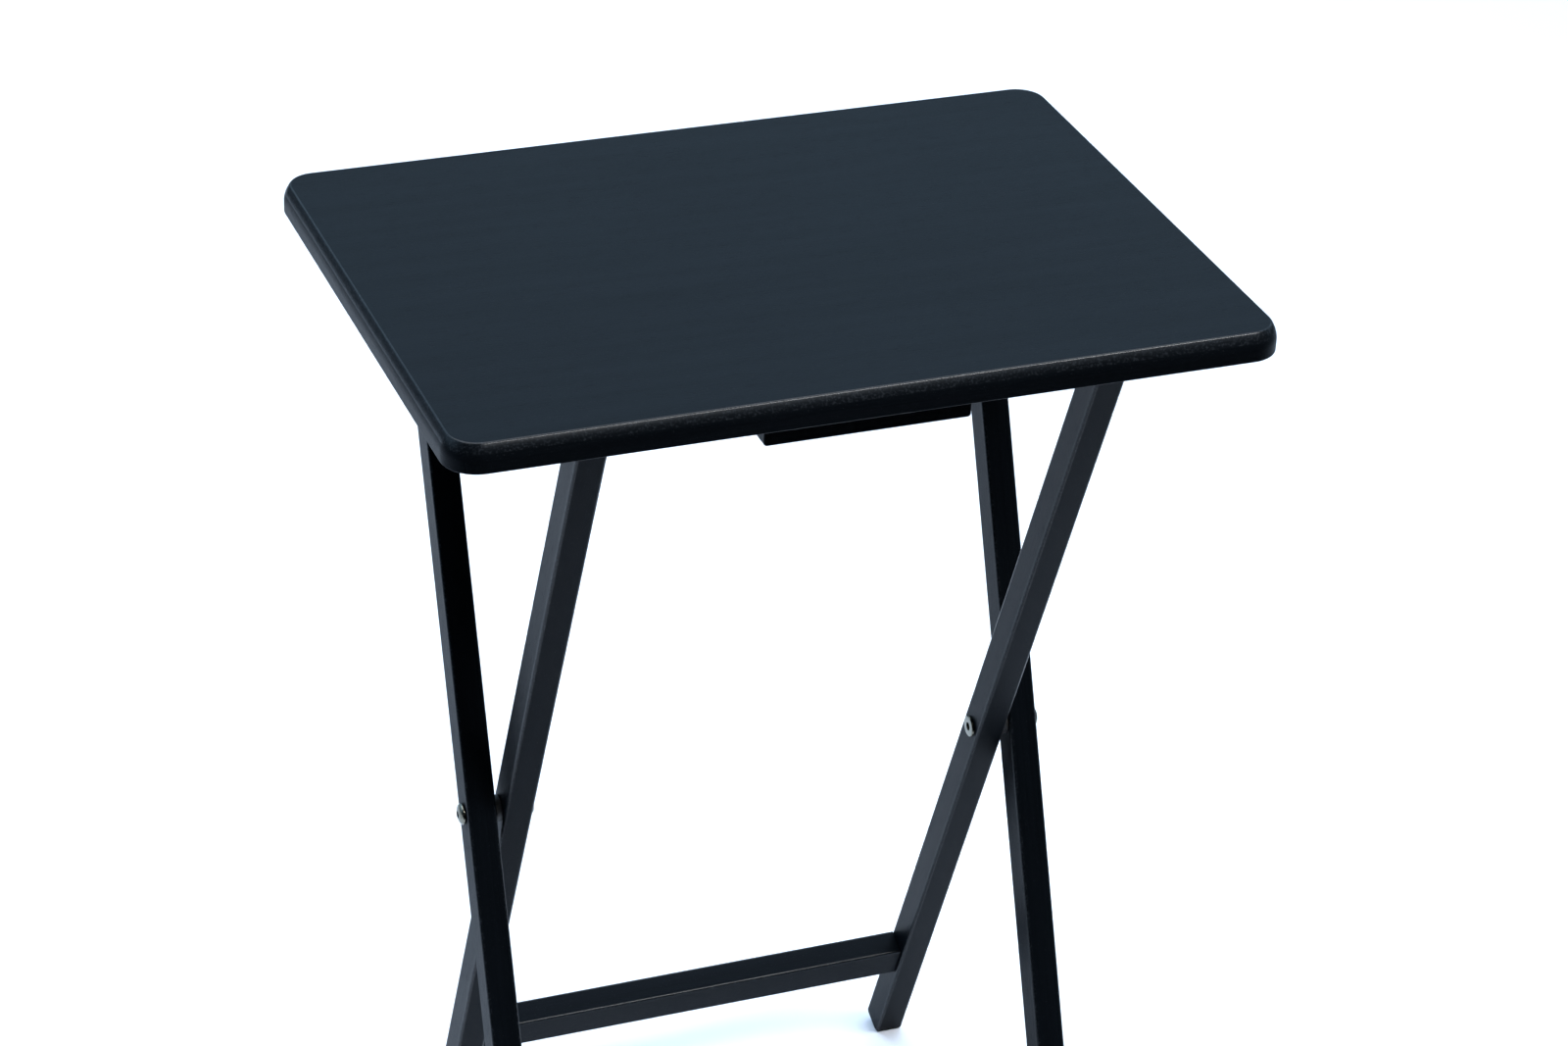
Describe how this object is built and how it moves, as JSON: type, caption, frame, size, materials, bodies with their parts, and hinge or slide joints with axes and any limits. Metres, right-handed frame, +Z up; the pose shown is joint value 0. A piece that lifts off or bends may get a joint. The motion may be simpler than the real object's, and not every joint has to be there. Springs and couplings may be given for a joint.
{
  "type": "folding tray table",
  "caption": "Folding tray table: a rectangular wooden tabletop with rounded corners on two crossed leg frames that scissor shut.",
  "frame": {"origin": "on the floor under the middle of the tabletop", "axes": "+X to the right along the tabletop's long side, +Y to the back where the tabletop is hinged, +Z up"},
  "size_m": [0.483, 0.35, 0.655],
  "materials": {
    "black_lacquer": "satin black lacquer with faint wood grain",
    "bare_wood": "unfinished beech",
    "nickel_steel": "nickel plated, satin",
    "zinc_steel": "zinc plated",
    "brass": "turned",
    "black_nylon": "moulded, matte"
  },
  "bodies": {
    "outer_frame": {"outer_leg_left": "black_lacquer", "outer_leg_right": "black_lacquer", "outer_rail": "black_lacquer", "rail_screw_left": "zinc_steel", "rail_screw_right": "zinc_steel", "hinge_bolt_left": "nickel_steel", "hinge_bolt_right": "nickel_steel", "hinge_washer_left": "black_nylon", "hinge_washer_right": "black_nylon", "hinge_insert_left": "brass", "hinge_insert_right": "brass", "pivot_bolt_left": "nickel_steel", "pivot_bolt_right": "nickel_steel", "pivot_spacer_left": "black_nylon", "pivot_spacer_right": "black_nylon", "pivot_sleeve_nut_left": "nickel_steel", "pivot_sleeve_nut_right": "nickel_steel"},
    "inner_frame": {"inner_leg_left": "black_lacquer", "inner_leg_right": "black_lacquer", "inner_stretcher": "black_lacquer", "inner_top_bar": "black_lacquer", "stretcher_dowel_left_upper": "bare_wood", "stretcher_dowel_left_lower": "bare_wood", "stretcher_dowel_right_upper": "bare_wood", "stretcher_dowel_right_lower": "bare_wood"},
    "tabletop": {"tabletop": "black_lacquer", "hinge_cleat_left": "black_lacquer", "hinge_cleat_right": "black_lacquer", "catch_strip": "black_lacquer", "cleat_screw_left_front": "zinc_steel", "cleat_screw_left_middle": "zinc_steel", "cleat_screw_left_rear": "zinc_steel", "cleat_screw_right_front": "zinc_steel", "cleat_screw_right_middle": "zinc_steel", "cleat_screw_right_rear": "zinc_steel", "catch_screw_left": "zinc_steel", "catch_screw_middle": "zinc_steel", "catch_screw_right": "zinc_steel"}
  },
  "joints": [
    {"name": "leg_fold", "type": "hinge", "parent": "outer_frame", "child": "inner_frame", "pos_m": [0, -0.008, 0.314], "axis": [-1, 0, 0], "range_deg": [0, 43.16]},
    {"name": "tabletop_hinge", "type": "hinge", "parent": "outer_frame", "child": "tabletop", "pos_m": [0, 0.116, 0.6275], "axis": [-1, 0, 0], "range_deg": [-68.41, 21.59]}
  ],
  "couplings": [
    {"joint": "tabletop_hinge", "follows": "leg_fold", "ratio": 0.5}
  ]
}
